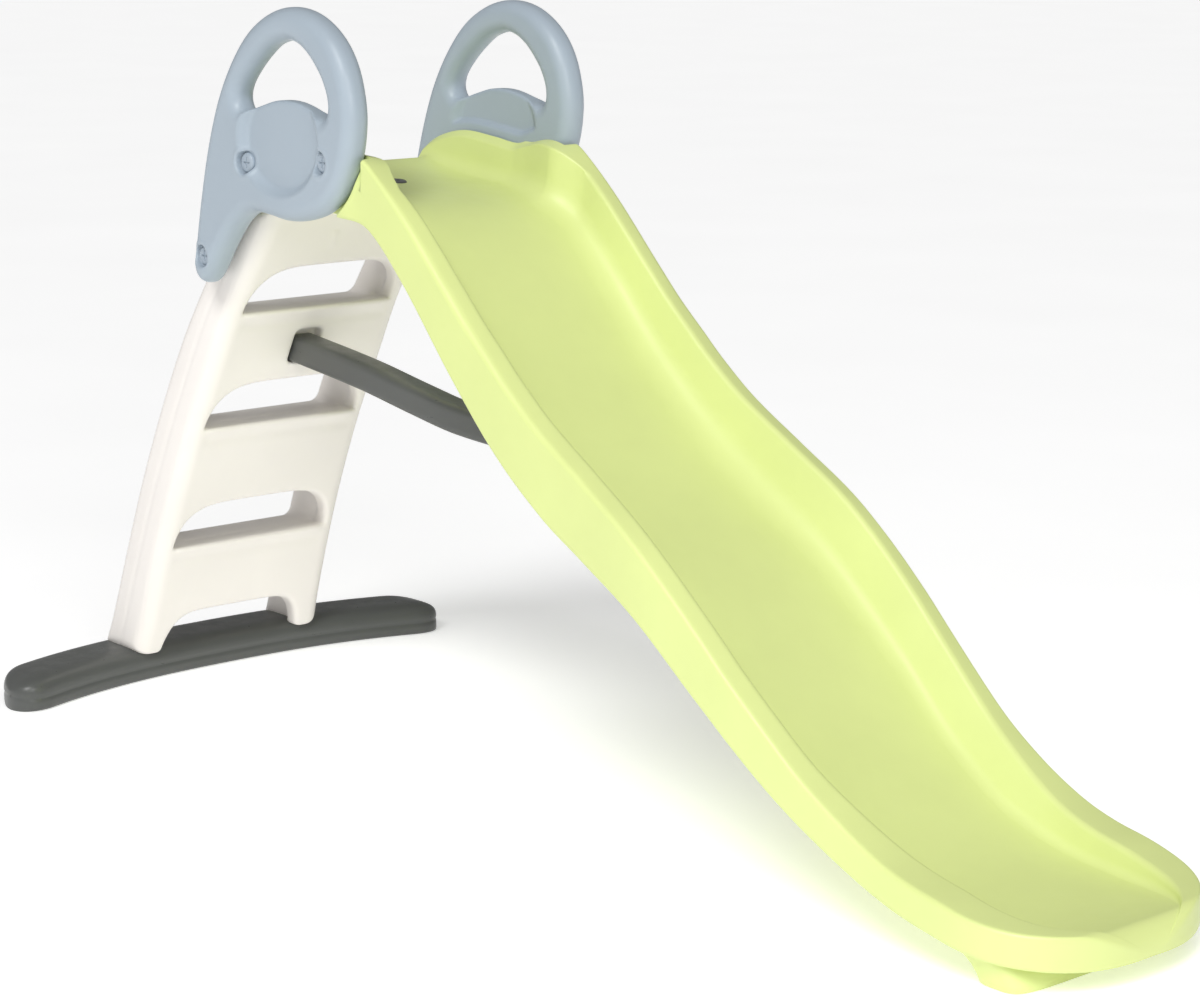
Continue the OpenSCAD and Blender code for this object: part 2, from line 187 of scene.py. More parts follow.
def surface(field, lo, step):
    """The zero level of a field on a regular grid: a vertex in each crossed cell, and quads."""
    inside = field < 0
    nx, ny, nz = field.shape
    total = np.zeros((nx - 1, ny - 1, nz - 1, 3))
    count = np.zeros((nx - 1, ny - 1, nz - 1))
    axes = np.arange(3)
    crossings = []
    for axis in axes:
        a = [slice(None)] * 3
        b = [slice(None)] * 3
        a[axis], b[axis] = slice(0, -1), slice(1, None)
        fa, fb = field[tuple(a)], field[tuple(b)]
        cross = inside[tuple(a)] != inside[tuple(b)]
        idx = np.argwhere(cross)
        va, vb = fa[cross], fb[cross]
        pos = idx.astype(float)
        pos[:, axis] += va / (va - vb)
        o1, o2 = [k for k in axes if k != axis]
        for d1 in (0, -1):
            for d2 in (0, -1):
                cell = idx.copy()
                cell[:, o1] += d1
                cell[:, o2] += d2
                ok = ((cell >= 0) & (cell < np.array(total.shape[:3]))).all(1)
                c = tuple(cell[ok].T)
                np.add.at(total, c, pos[ok])
                np.add.at(count, c, 1)
        crossings.append((axis, o1, o2, idx, va < 0))
    used = count > 0
    number = np.full(used.shape, -1, np.int64)
    number[used] = np.arange(used.sum())
    verts = total[used] / count[used][:, None] * step + lo
    quads = []
    for axis, o1, o2, idx, low_inside in crossings:
        ok = (idx[:, o1] > 0) & (idx[:, o2] > 0)
        idx, low_inside = idx[ok], low_inside[ok]
        corner = []
        for d1, d2 in ((0, 0), (-1, 0), (-1, -1), (0, -1)):
            cell = idx.copy()
            cell[:, o1] += d1
            cell[:, o2] += d2
            corner.append(number[tuple(cell.T)])
        q = np.stack(corner, 1)
        turn = low_inside if axis != 1 else ~low_inside
        q[~turn] = q[~turn][:, ::-1]
        quads.append(q)
    return verts, np.concatenate(quads)


def relax(piece, rounds):
    """Evens out the grid's fine steps."""
    mod = piece.modifiers.new("relax", "SMOOTH")
    mod.factor, mod.iterations = 0.5, rounds


def grid(lo, hi, step):
    """The axes of a grid round a box, and its first corner."""
    axes = [np.arange(a - 3 * step, b + 3.5 * step, step) for a, b in zip(lo, hi)]
    return axes, np.array([a[0] for a in axes])


CAP_SIZES = (0.75, 0.5, 0.25, 0.02)


def loft(rings, caps=(True, True)):
    """Quads over rings of equal length; a cap closes an end with rings shrinking to its middle."""
    rings = [np.asarray(r, float) for r in rings]
    first, last = rings[0], rings[-1]
    if caps[0]:
        middle = first.mean(0)
        rings = [middle + (first - middle) * k for k in reversed(CAP_SIZES)] + rings
    if caps[1]:
        middle = last.mean(0)
        rings = rings + [middle + (last - middle) * k for k in CAP_SIZES]
    m, n = len(rings), len(first)
    i = np.arange(n)
    j = np.arange(m - 1)[:, None]
    a, b = j * n + i, j * n + (i + 1) % n
    quads = np.stack([a, b, b + n, a + n], -1).reshape(-1, 4)
    verts = np.concatenate(rings)
    p, q, r, t = (verts[quads[:, k]] for k in range(4))
    volume = (np.cross(r - p, t - q) * (p + q + r + t)).sum()
    return verts, quads if volume > 0 else quads[:, ::-1]


# ---------------------------------------------------------------- chute

# heights along the chute of the rails' outer crest, the trough's floor and the skirt's edge
RIM = table([
    [292, 884], [305, 901], [345, 919], [404, 929], [481, 923], [530, 917], [560, 924], [600, 931],
    [633, 925], [662, 910], [740, 846], [841, 748], [882, 708], [930, 666], [969, 632], [1036, 582],
    [1135, 524], [1230, 468], [1303, 414], [1374, 354], [1424, 308], [1492, 249], [1541, 209],
    [1591, 176], [1641, 148], [1690, 126], [1737, 112], [1784, 103], [1830, 93], [1880, 85],
    [1930, 80], [1960, 78]])
FLOOR = table([
    [292, 874], [335, 881], [400, 870], [460, 861], [560, 851], [635, 834], [700, 796], [786, 720],
    [850, 655], [910, 600], [993, 532], [1079, 474], [1230, 386], [1380, 273], [1500, 176],
    [1600, 118], [1700, 82], [1800, 68], [1870, 67], [1915, 71], [1940, 75], [1960, 76]])
SKIRT = table([
    [292, 829], [600, 829], [660, 815], [740, 745], [850, 624], [950, 527], [1050, 456],
    [1130, 415], [1250, 353], [1370, 265], [1500, 168], [1600, 112], [1700, 72], [1790, 52],
    [1870, 40], [1960, 32]])
# half the width over the rails
HALF_W = table([
    [292, 181], [540, 181], [575, 203], [640, 205], [880, 206], [1036, 208], [1135, 211],
    [1260, 216], [1400, 213], [1520, 204], [1640, 199], [1960, 199]])
# the flat on top of the rail: its width, and its inner edge's height over its outer edge
BAND = table([[292, 14], [560, 16], [650, 26], [760, 34], [1500, 35], [1720, 58], [1960, 60]])
BAND_RISE = table([
    [292, -10], [480, -12], [600, -12], [680, -2], [760, 5], [1400, 8], [1550, 6], [1720, 2],
    [1860, 0], [1960, 0]])
# the radii of the rail's outer crease and of the cove at the foot of the trough's wall
CREASE_R = table([[292, 5], [640, 7], [840, 15], [960, 11], [1200, 8], [1960, 8]])
COVE_R = table([
    [292, 6], [345, 26], [640, 60], [900, 54], [1250, 32], [1450, 20], [1650, 15], [1860, 12],
    [1960, 8]])
# how far the trough's wall leans in from the rail's edge to the edge of the floor
LEAN = table([[292, 7], [640, 8], [1000, 26], [1450, 36], [1600, 32], [1720, 12], [1960, 6]])
# the rounded plan of the far corners: its length along the chute and its squareness
CORNER_L, CORNER_P = 170.0, 2.25
NECK_END = 700  # where the shoulder has widened out again, past the loops
NECK_W = 181  # half the width of the neck between the loops
NECK_FACE = 180.7  # the neck's side, just inside the loops' inner faces
FLOOR_T = 30  # the floor's thickness
LEG_W, LEG_TAPER = 34, 12  # the rail's width at the skirt's edge, and what it gains on its way up
LOOP_GAP, LOOP_BLEND = 3.0, 7  # the shoulder's clearance round a loop, and how fast it steps out
WALL_POINTS = 30  # points up the outer wall
LIP_L, EDGE_L = 26, 10  # the lengths of the roll at the far end and of the round at the near end
EDGE_FLAT = 0.25  # how much of the section's height is left at the near edge
THINNEST, NARROWEST = 0.02, 0.004  # what is left of the section where it closes

# the outline of the hand loop and of its finger hole, seen from the side
LOOP_LINE = [
    [227, 728], [234, 772], [250, 842], [272, 918], [302, 990], [340, 1048], [386, 1094],
    [440, 1122], [494, 1131], [548, 1121], [596, 1092], [628, 1050], [644, 996], [643, 950],
    [630, 905], [604, 864], [566, 836], [518, 821], [470, 817], [424, 822], [384, 822],
    [346, 802], [306, 760], [276, 721], [256, 704], [237, 708]]
HOLE_LINE = [
    [482, 1082], [511, 1077], [536, 1063], [556, 1045], [573, 1024], [584, 998], [580, 977],
    [560, 975], [524, 987], [486, 994], [446, 993], [408, 984], [372, 975], [356, 988],
    [361, 1007], [382, 1030], [412, 1054], [444, 1073]]


def round_section(corners, radii, n):
    """Points along a polyline whose corners are rounded; each corner is an array over stations."""
    out = [corners[0]]
    for i in range(1, len(corners) - 1):
        before, here, after = corners[i - 1], corners[i], corners[i + 1]
        into, away = here - before, after - here
        li, la = np.linalg.norm(into, axis=1), np.linalg.norm(away, axis=1)
        r = np.minimum(np.minimum(radii[i], li * 0.48), la * 0.48)[:, None]
        p, q = here - into / li[:, None] * r, here + away / la[:, None] * r
        out.append(out[-1] * 0.5 + p * 0.5)
        for u in np.linspace(0, 1, n[i]):
            out.append((1 - u) ** 2 * p + 2 * u * (1 - u) * here + u * u * q)
    out.append(corners[-1])
    return out


def chute_stations():
    """Places along the chute, closest together at both ends and at the shoulder."""
    near = np.linspace(0, 1, 16)
    far = np.linspace(0, 1, 44)
    return np.concatenate([
        CHUTE_START + 14 * (1 - np.cos(near * math.pi / 2)),
        np.arange(308, 556, 4), np.arange(556, 664, 1.5), np.arange(664, 1784, 6),
        np.arange(1784, 1900, 3.5), 1900 + 60 * np.sin(far * math.pi / 2)])


def chute_mesh():
    """The whole moulding, from rings over its closed cross-section at each station."""
    x = chute_stations()
    u = np.clip((x - CHUTE_END + CORNER_L) / CORNER_L, 0, 1)
    plan = np.maximum(1 - u**CORNER_P, 0) ** (1 / CORNER_P)
    w = HALF_W(x) * np.maximum(plan, NARROWEST)
    shrink = np.maximum(plan, 0.05)
    rim, floor, skirt = RIM(x), FLOOR(x), SKIRT(x)
    band, rise = BAND(x) * shrink, BAND_RISE(x)
    under = np.maximum(floor - FLOOR_T, skirt + 3)
    # beside the loops the rail's crest stays flush with the neck
    inner = w - band - np.maximum(w - NECK_W, 0) * (1 - smooth_step(630, NECK_END, x))
    wall = inner - LEAN(x) * shrink
    leg = w - LEG_W * shrink

    def pt(y, z):
        return np.stack([y, z], 1)

    # the section from the middle of its underside, round the rail, to the middle of the trough
    corners = [
        pt(0 * w, under), pt(leg - LEG_TAPER * shrink, under), pt(leg, skirt), pt(w, skirt),
        pt(w, rim), pt(inner, rim + rise), pt(wall, floor), pt(0 * w, floor)]
    radii = [
        0, 14 * shrink, 10 * shrink, 9 * shrink, CREASE_R(x), np.where(x < NECK_END, 3.5, 9),
        np.minimum(COVE_R(x), np.maximum(rim + rise - floor, 4) * 1.1), 0]
    half = round_section(corners, radii, [0, 6, 8, 10, 14, 12, 26, 0])
    # extra points up the outer wall, where the shoulder steps round the hand loop
    middle = len(x) // 2
    start = next(i for i, at in enumerate(half)
                 if at[middle][1] > skirt[middle] + 12 and at[middle][0] > 150)
    low, high = half[start - 1], half[start]
    fill = [low + (high - low) * k / WALL_POINTS for k in range(1, WALL_POINTS)]
    half = half[:start] + fill + half[start:]
    y = np.stack([h[:, 0] for h in half], 1)
    z = np.stack([h[:, 1] for h in half], 1)
    # the far end rolls over, and the near end is rounded
    far_u = np.clip((x - (CHUTE_END - LIP_L)) / LIP_L, 0, 1)
    near_u = np.clip((CHUTE_START + EDGE_L - x) / EDGE_L, 0, 1)
    far, near = (np.sqrt(np.maximum(1 - u**2, 0)) for u in (far_u, near_u))
    squeeze = far * (EDGE_FLAT + (1 - EDGE_FLAT) * near)
    # the far end closes just over the skirt's edge, and the near end about its middle
    mid = np.where(x > 1000, skirt + 4, (floor + skirt) / 2)
    z = mid[:, None] + (z - mid[:, None]) * np.maximum(squeeze, THINNEST)[:, None]
    # room for the hand loop
    xx = np.broadcast_to(x[:, None], y.shape)
    away = polygon_distance(outline(LOOP_LINE, 4), xx, z) - LOOP_GAP
    clear = smooth_step(0, LOOP_BLEND, away)
    top = (rim + rise - rise * (NECK_FACE - inner) / np.maximum(w - inner, 1))[:, None]
    beside = (xx < NECK_END) & (y > NECK_FACE)
    z = np.where(beside, np.minimum(z, top + (np.maximum(z, top) - top) * clear), z)
    y = np.where(beside, NECK_FACE + (y - NECK_FACE) * clear, y)
    right = np.stack([xx, -y, z], 2)
    left = np.stack([xx, y, z], 2)[:, ::-1]
    rings = np.concatenate([right, left[:, 1:-1]], 1)
    return loft(rings, (False, False))


def chute_foot_mesh():
    """The foot under the far end, flaring up into the skirt."""
    rings = []
    # height, rear and front edge along the chute, and half the width
    for z, rear, front, half in (
            (0, 1813, 1884, 157), (0.6, 1810, 1887, 160), (2.5, 1807, 1889, 162.5),
            (12, 1802, 1889, 164), (24, 1795, 1887, 168), (36, 1786, 1882, 174),
            (46, 1776, 1874, 180), (54, 1768, 1866, 182), (58, 1765, 1862, 182)):
        a = circle(160)
        x = (rear + front) / 2 + (front - rear) / 2 * squared(np.cos(a), 0.5)
        y = half * squared(np.sin(a), 0.3)
        rings.append(np.stack([x, y, np.full_like(x, z)], 1))
    return loft(rings)


# ---------------------------------------------------------------- hand loops

DISH = (466.0, 936.0, 104.0, 84.0)  # the sunk oval's middle and its two half widths
DISH_DEPTH, INNER_DEPTH = 13.0, 10.0  # how deep it sinks into the outer and the inner face
RING_ROUND, DISH_ROUND = 21.0, 5.0  # the radius of the edges round the ring and in the oval
LOOP_SCREWS = {"front": (570, 910), "rear": (375, 897), "tail": (255, 746)}
WELL_DEPTH, TAIL_WELL_DEPTH = 14.0, 12.0
SCREW_SEAT = LOOP_MID + LOOP_T / 2 - WELL_DEPTH
SCREW_L, SHANK_R, HEAD_R = 38.0, 7, 15.0
RECESS_DEPTH = 2.6


def loop_mesh(step=2.0):
    """The loop on the left, about its own middle plane, outer face towards +Y."""
    (gx, gy, gz), lo = grid((222, -LOOP_T / 2, 700), (648, LOOP_T / 2, 1135), step)
    x2, z2 = np.meshgrid(gx, gz, indexing="ij")
    body = polygon_distance(outline(LOOP_LINE, 5), x2, z2)
    hole = polygon_distance(outline(HOLE_LINE, 5), x2, z2)
    flat = smooth_max(body, -hole, 5)
    half = LOOP_T / 2
    # the outer face is a rounded ring about a sunk bowl with a broad sloping lower edge
    cx, cz, rx, rz = DISH
    e = np.sqrt(((x2 - cx) / rx) ** 2 + ((z2 - cz) / rz) ** 2)
    sunk = DISH_DEPTH * (1 - smooth_step(0.82, 1.02, e))
    # the inner face sinks too, down to a bead that follows the chute's shoulder
    shelf = smooth_step(8, 17, z2 - RIM(x2))
    inner_sunk = INNER_DEPTH * (1 - smooth_step(0.84, 1.05, e)) * shelf
    x3, y3 = flat[:, None, :], gy[None, :, None]
    faces = np.maximum(y3 - (half - sunk[:, None, :]), -y3 - (half - inner_sunk[:, None, :]))
    field = rounded(x3, faces, RING_ROUND)
    thin = rounded(x3, faces, DISH_ROUND)
    bowl = (1 - smooth_step(0.9, 1.1, e))[:, None, :]
    field = field + (thin - field) * bowl
    # each screw stands in a round well with a raised lip
    for spot, (sx, sz) in LOOP_SCREWS.items():
        r = np.hypot(x2 - sx, z2 - sz)[:, None, :]
        field = field - 1.2 * bump_at(r, HEAD_R + 7, 2.2) * (y3 > 0)
        floor_y = half - (TAIL_WELL_DEPTH if spot == "tail" else WELL_DEPTH)
        well = rounded(r - (HEAD_R + 2.2), floor_y - y3, 2.5)
        field = smooth_max(field, -well, 2.0)
    return surface(field, lo, step)


def screw_mesh():
    """A moulded screw along +Y with a cross recess; its head's seat is at y = 0."""
    a = circle(120)
    profile = [(SHANK_R - 2, -SCREW_L), (SHANK_R, -SCREW_L + 2), (SHANK_R, -0.4),
               (HEAD_R - 0.6, -0.2), (HEAD_R, 0.6), (HEAD_R, 3.6), (HEAD_R - 0.6, 4.6),
               (HEAD_R - 1.8, 5.4)]
    profile += [(r, 5.6 + 1.1 * math.sqrt(1 - (r / HEAD_R) ** 2))
                for r in np.linspace(HEAD_R - 2.6, 0.3, 46)]
    rings = []
    for r, y in profile:
        u, v = r * np.cos(a), r * np.sin(a)
        near, far = np.minimum(abs(u), abs(v)), np.maximum(abs(u), abs(v))
        cross = (1 - smooth_step(1.0, 1.8, near)) * (1 - smooth_step(7.6, 8.6, far))
        rings.append(np.stack([u, y - RECESS_DEPTH * cross * (y > 4), v], 1))
    return loft(rings)


# ---------------------------------------------------------------- ladder

# the front and back edges of the ladder's side, and half its width, by height
FRONT = table([
    [46, -33], [100, -12], [200, 25], [300, 66], [424, 124], [543, 188], [650, 248], [757, 325],
    [828, 378]])
BACK = table([[46, -147], [250, -71], [350, -31], [477, 30], [600, 99], [697, 166], [828, 262]])
LADDER_W = table([[46, 184], [100, 179], [200, 176], [350, 172], [650, 168], [828, 165]])
TREADS = (237, 450, 648)
SLOT_W = (150, 147, 142)  # half the width of each slot
SLOT_H = 72
TREAD_T = 38
PANEL_T = 28
LADDER_TOP, LEG_BASE = 828, 46
LEG_GAP, ARCH_TOP = 140, 112  # half the width between the legs, and the arch's height
SIDE_ROUND = 24.0
BRACE_RECESS = (580, 28, 25.5, 20)  # its middle height, half its height and width, its depth
RIB_Z = 765


def arch_line(w, low, high, p):
    s = np.linspace(-1, 1, 61)
    y = w * np.sin(s * math.pi / 2)
    return np.stack([y, low + (high - low) * np.sqrt(1 - np.abs(y / w) ** p)], 1)


def ladder_mesh(step=3.0):
    """The whole moulding, from a field cut by the slots, the arch and the brace's recess."""
    (gx, gy, gz), lo = grid((-150, -192, LEG_BASE), (382, 192, LADDER_TOP), step)
    heights = np.linspace(LEG_BASE, LADDER_TOP, 90)
    x2, z2 = np.meshgrid(gx, gz, indexing="ij")
    front, back = FRONT(heights), BACK(heights)
    side = np.concatenate([np.stack([front, heights], 1), np.stack([back, heights], 1)[::-1]])
    profile = polygon_distance(side, x2, z2)
    y3 = gy[None, :, None]
    # the side bulges to a parting line half way through its depth
    depth = np.clip((x2 - BACK(z2)) / (FRONT(z2) - BACK(z2)), 0, 1)
    bulge = 5.0 * np.sin(depth * math.pi) ** 0.7 - 1.3 * bump_at(depth, 0.5, 0.035)
    width = (LADDER_W(z2) + bulge)[:, None, :]
    field = rounded(profile[:, None, :], np.abs(y3) - width, SIDE_ROUND)
    # a shallow roll along the front edge of each tread, with a hollow under it
    y2, z2b = np.meshgrid(gy, gz, indexing="ij")
    lip = np.zeros_like(y2)
    for t, w in zip(TREADS, SLOT_W):
        across = 1 - smooth_step(w - 16, w + 4, np.abs(y2))
        lip += across * (2.4 * bump_at(z2b, t - 5, 7) - 2.0 * bump_at(z2b, t - 24, 9))
    # the small raised mark high on the panel
    up = z2b - RIB_Z
    lip += 2.2 * bump_at(y2, -28 - up * 0.2, 5) * (1 - smooth_step(9, 16, np.abs(up)))
    near_front = smooth_step(0.45, 0.85, depth)[:, None, :]
    field = field - lip[None] * near_front
    # openings
    for i, (t, w) in enumerate(zip(TREADS, SLOT_W)):
        top = TREADS[i + 1] - TREAD_T if i < 2 else LADDER_TOP - TREAD_T
        slot = polygon_distance(arch_line(w, t, t + SLOT_H, 5), y2, z2b)[None]
        slot = np.maximum(slot, ((FRONT(z2) - PANEL_T - 20) - x2)[:, None, :])
        room = rounded(((t - z2))[:, None, :], (z2 - top)[:, None, :], 8)
        room = rounded(room, np.abs(y3) - (w + 2), 12)
        room = rounded(room, (x2 - (FRONT(z2) - PANEL_T) + 0 * z2)[:, None, :], 8)
        field = smooth_max(field, -smooth_min(slot, room, 3), 9)
    arch = polygon_distance(arch_line(LEG_GAP, -10, ARCH_TOP, 7), y2, z2b)[None] + 0 * field
    under = rounded((z2 - (TREADS[0] - TREAD_T))[:, None, :], np.abs(y3) - (LEG_GAP + 6), 12)
    under = rounded(under, (x2 - (FRONT(z2) - PANEL_T))[:, None, :], 8)
    field = smooth_max(field, -smooth_min(arch, under, 3), 10)
    # the recess round the brace's end
    mid_z, half_h, half_w, deep = BRACE_RECESS
    box = rounded(np.abs(y3) - half_w, (np.abs(z2 - mid_z) - half_h)[:, None, :], 9)
    box = np.maximum(box, (FRONT(z2) - deep - x2)[:, None, :])
    field = smooth_max(field, -box, 5)
    return surface(field, lo, step)


# ---------------------------------------------------------------- cross foot and brace

FOOT_W = 60  # half the width of the bar
FOOT_SIDE = 21  # the height of the upright side, under the domed top
FOOT_END = 62
FOOT_X, FOOT_SWEEP = -108, 80


def cross_foot_mesh():
    """A bar with a domed top and a groove along its side; its ends sweep forward and fade."""
    a = np.linspace(0, math.pi, 60)
    rings = []
    for v in FOOT_L * np.sin(np.linspace(-1, 1, 181) * math.pi / 2):
        u = max((abs(v) - FOOT_L + FOOT_END) / FOOT_END, 0)
        fade = max(math.sqrt(max(1 - u**2.2, 0)), 0.03)
        w, h = FOOT_W * fade, FOOT_H * (0.5 + 0.5 * fade)
        centre = FOOT_X + FOOT_SWEEP * (abs(v) / FOOT_L) ** 2.4
        top_x = w * squared(np.cos(a), 0.5)
        top_z = FOOT_SIDE + (h - FOOT_SIDE) * np.sin(a) ** 0.68
        groove = 2.6 * bump_at(top_z, FOOT_SIDE + 1, 2.2) * np.sign(np.cos(a))
        side_z = np.array([19, 16, 12, 8, 5, 2.5, 0.8, 0.1, 0, 0, 0, 0])
        side_x = w - np.array([1.6, 0.2, 0, 0.1, 0.6, 1.8, 4, 7.5, 12, 24, 36, 48]) * fade
        xs = np.concatenate([side_x[::-1], top_x - groove, -side_x])
        zs = np.concatenate([side_z[::-1], top_z, side_z])
        rings.append(np.stack([centre + xs, np.full_like(xs, v), zs], 1))
    return loft(rings)


# the height of the brace's middle along its length
BRACE_LINE = table([
    [160, 578], [212, 573], [381, 552], [514, 530], [617, 515], [760, 508], [965, 508]])
BRACE_HALF, BRACE_SQUARENESS = 23.0, 0.38


def brace_mesh():
    """A rounded square bar along the brace's line, with a seam down each side."""
    x0, x1 = (end.x / MM - DATUM_X for end in BRACE_BOX)
    a = circle(72)
    y = BRACE_HALF * squared(np.cos(a), BRACE_SQUARENESS)
    z = BRACE_HALF * squared(np.sin(a), BRACE_SQUARENESS)
    y = y - 0.8 * bump_at(z, 0, 2.0) * np.sign(y)
    return loft([np.stack([np.full_like(y, x), y, float(BRACE_LINE(x)) + z], 1)
                 for x in np.linspace(x0 + 1, x1 - 1, 220)])


# ---------------------------------------------------------------- materials

def new_material(name):
    mat = bpy.data.materials.new(name)
    mat.use_nodes = True
    nodes, links = mat.node_tree.nodes, mat.node_tree.links
    nodes.clear()
    out = nodes.new("ShaderNodeOutputMaterial")
    shader = nodes.new("ShaderNodeBsdfPrincipled")
    links.new(shader.outputs["BSDF"], out.inputs["Surface"])
    return mat, nodes, links, shader


def noise(nodes, links, coord, scale, detail=3.0, rough=0.5, stretch=None):
    if stretch:
        mapping = nodes.new("ShaderNodeMapping")
        mapping.inputs["Scale"].default_value = stretch
        links.new(coord, mapping.inputs["Vector"])
        coord = mapping.outputs["Vector"]
    tex = nodes.new("ShaderNodeTexNoise")
    tex.inputs["Scale"].default_value = scale
    tex.inputs["Detail"].default_value = detail
    tex.inputs["Roughness"].default_value = rough
    links.new(coord, tex.inputs["Vector"])
    return tex.outputs["Fac"]


def remap(nodes, links, value, lo, hi, to_lo, to_hi):
    m = nodes.new("ShaderNodeMapRange")
    for key, v in (("From Min", lo), ("From Max", hi), ("To Min", to_lo), ("To Max", to_hi)):
        m.inputs[key].default_value = v
    links.new(value, m.inputs["Value"])
    return m.outputs["Result"]


def mix(nodes, links, factor, a, b):
    m = nodes.new("ShaderNodeMix")
    m.data_type = "RGBA"
    links.new(factor, m.inputs["Factor"])
    for value, socket in ((a, m.inputs[6]), (b, m.inputs[7])):
        if isinstance(value, tuple):
            socket.default_value = (*value, 1)
        else:
            links.new(value, socket)
    return m.outputs[2]


def bump(nodes, links, height, distance, strength, below=None):
    b = nodes.new("ShaderNodeBump")
    b.inputs["Strength"].default_value = strength
    b.inputs["Distance"].default_value = distance
    links.new(height, b.inputs["Height"])
    if below:
        links.new(below, b.inputs["Normal"])
    return b.outputs["Normal"]


def moulded_plastic(name, colour, rough, grain, mottle, edge_highlight_strength, glow):
    """Blow-moulded polyethylene: faint clouding, a fine grained skin, and a painted highlight that
    makes convex edges paler.
    """
    mat, nodes, links, shader = new_material(name)
    coord = nodes.new("ShaderNodeTexCoord").outputs["Object"]
    base = np.array(colour)
    deep, pale = tuple(base * (1 - mottle)), tuple(np.minimum(base * (1 + mottle * 0.7), 1))
    cloud = noise(nodes, links, coord, 4.5, 4.0, 0.55)
    tint = mix(nodes, links, remap(nodes, links, cloud, 0.35, 0.65, 0, 1), deep, pale)
    speck = noise(nodes, links, coord, 420.0, 2.0, 0.6)
    tint = mix(nodes, links, remap(nodes, links, speck, 0.62, 0.8, 0, 0.35), tint,
               tuple(base * (1 - 2.2 * mottle)))
    # painted highlight: convex edges, found by pointiness, are mixed towards a paler colour
    painted_edge_highlight = remap(nodes, links, nodes.new("ShaderNodeNewGeometry").outputs["Pointiness"],
                 0.52, 0.60, 0, edge_highlight_strength)
    tint = mix(nodes, links, painted_edge_highlight, tint, tuple(base * 0.55 + 0.45 * np.minimum(base * 1.5, 0.95)))
    links.new(tint, shader.inputs["Base Color"])
    scuff = noise(nodes, links, coord, 38.0, 5.0, 0.65, (1, 1, 3))
    links.new(remap(nodes, links, scuff, 0.3, 0.7, rough - 0.06, rough + 0.09),
              shader.inputs["Roughness"])
    waves = noise(nodes, links, coord, 26.0, 2.0, 0.4)
    skin = noise(nodes, links, coord, 950.0, 3.0, 0.55)
    soft = bump(nodes, links, waves, 0.0012, 0.12)
    links.new(bump(nodes, links, skin, 0.00018, grain, soft), shader.inputs["Normal"])
    shader.inputs["IOR"].default_value = 1.5
    shader.inputs["Specular IOR Level"].default_value = 0.45
    shader.inputs["Subsurface Weight"].default_value = glow
    shader.inputs["Subsurface Scale"].default_value = 0.006
    shader.inputs["Subsurface Radius"].default_value = tuple(0.4 + 0.6 * base)
    return mat


def rubber(name, colour):
    mat, nodes, links, shader = new_material(name)
    coord = nodes.new("ShaderNodeTexCoord").outputs["Object"]
    base = np.array(colour)
    dust = remap(nodes, links, noise(nodes, links, coord, 60.0, 4.0, 0.6), 0.45, 0.75, 0, 0.5)
    links.new(mix(nodes, links, dust, tuple(base), tuple(base + 0.05)), shader.inputs["Base Color"])
    links.new(remap(nodes, links, noise(nodes, links, coord, 200.0), 0.3, 0.7, 0.7, 0.88),
              shader.inputs["Roughness"])
    links.new(bump(nodes, links, noise(nodes, links, coord, 700.0), 0.0003, 0.5),
              shader.inputs["Normal"])
    return mat


def studio_floor():
    mat, nodes, links, shader = new_material("studio_floor")
    coord = nodes.new("ShaderNodeTexCoord").outputs["Object"]
    tone = remap(nodes, links, noise(nodes, links, coord, 1.3, 3.0), 0.3, 0.7, 0, 1)
    links.new(mix(nodes, links, tone, (0.90, 0.90, 0.90), (0.93, 0.93, 0.93)),
              shader.inputs["Base Color"])
    shader.inputs["Roughness"].default_value = 0.75
    shader.inputs["Specular IOR Level"].default_value = 0.2
    shader.inputs["Emission Color"].default_value = (1, 1, 1, 1)
    shader.inputs["Emission Strength"].default_value = 0.38
    return mat


# colour, roughness, grain, mottling, the strength of the painted highlight on convex edges, and
# light let into the surface
PLASTICS = {
    "lime_plastic": ((0.72, 0.805, 0.315), 0.38, 0.45, 0.03, 0.2, 0.03),
    "cream_plastic": ((0.90, 0.86, 0.82), 0.45, 0.5, 0.02, 0.15, 0.06),
    "blue_plastic": ((0.385, 0.452, 0.515), 0.36, 0.4, 0.03, 0.25, 0.05),
    "blue_screws": ((0.37, 0.435, 0.50), 0.38, 0.3, 0.04, 0.35, 0.04),
    "charcoal_plastic": ((0.092, 0.096, 0.092), 0.33, 0.2, 0.03, 0.1, 0.0),
}
SLOT_MATERIALS = {name: moulded_plastic(name, *look) for name, look in PLASTICS.items()}
SLOT_MATERIALS["black_rubber"] = rubber("black_rubber", (0.02, 0.02, 0.02))


# ---------------------------------------------------------------- scene

FLOOR_SIZE = 70.0  # half the side of the floor, in metres
LIT_POINT = (0.1, 0.0, 0.5)
CAMERA_X, CAMERA_Y, CAMERA_Z = 4123.7, -2750.3, 1306.9  # millimetres from the ladder's datum
CAMERA_AZIMUTH, CAMERA_PITCH = 49.2587, 11.4956


def add_pieces():
    make_piece("chute_moulding", *chute_mesh(), "chute", "lime_plastic")
    make_piece("chute_end_foot", *chute_foot_mesh(), None, "lime_plastic")
    relax(make_piece("ladder_moulding", *ladder_mesh(), "ladder", "cream_plastic"), 4)
    for loop in make_pair(loop_mesh(), (0, LOOP_MID, 0), "hand_loop", "_moulding", "blue_plastic"):
        relax(loop, 3)
    screw = screw_mesh()
    for spot, (x, z) in LOOP_SCREWS.items():
        make_pair(screw, (x, SCREW_SEAT, z), "loop_screw_" + spot, "_moulded", "blue_screws")
    make_piece("cross_foot_moulding", *cross_foot_mesh(), "cross_foot", "charcoal_plastic")
    make_piece("brace_moulding", *brace_mesh(), "brace", "charcoal_plastic")
    slots = {s["node"]: s["material_slot"] for s in frame["record"]["subparts"]}
    for name, node in frame["nodes"].items():
        node.data.materials.clear()
        node.data.materials.append(SLOT_MATERIALS[slots[name]])


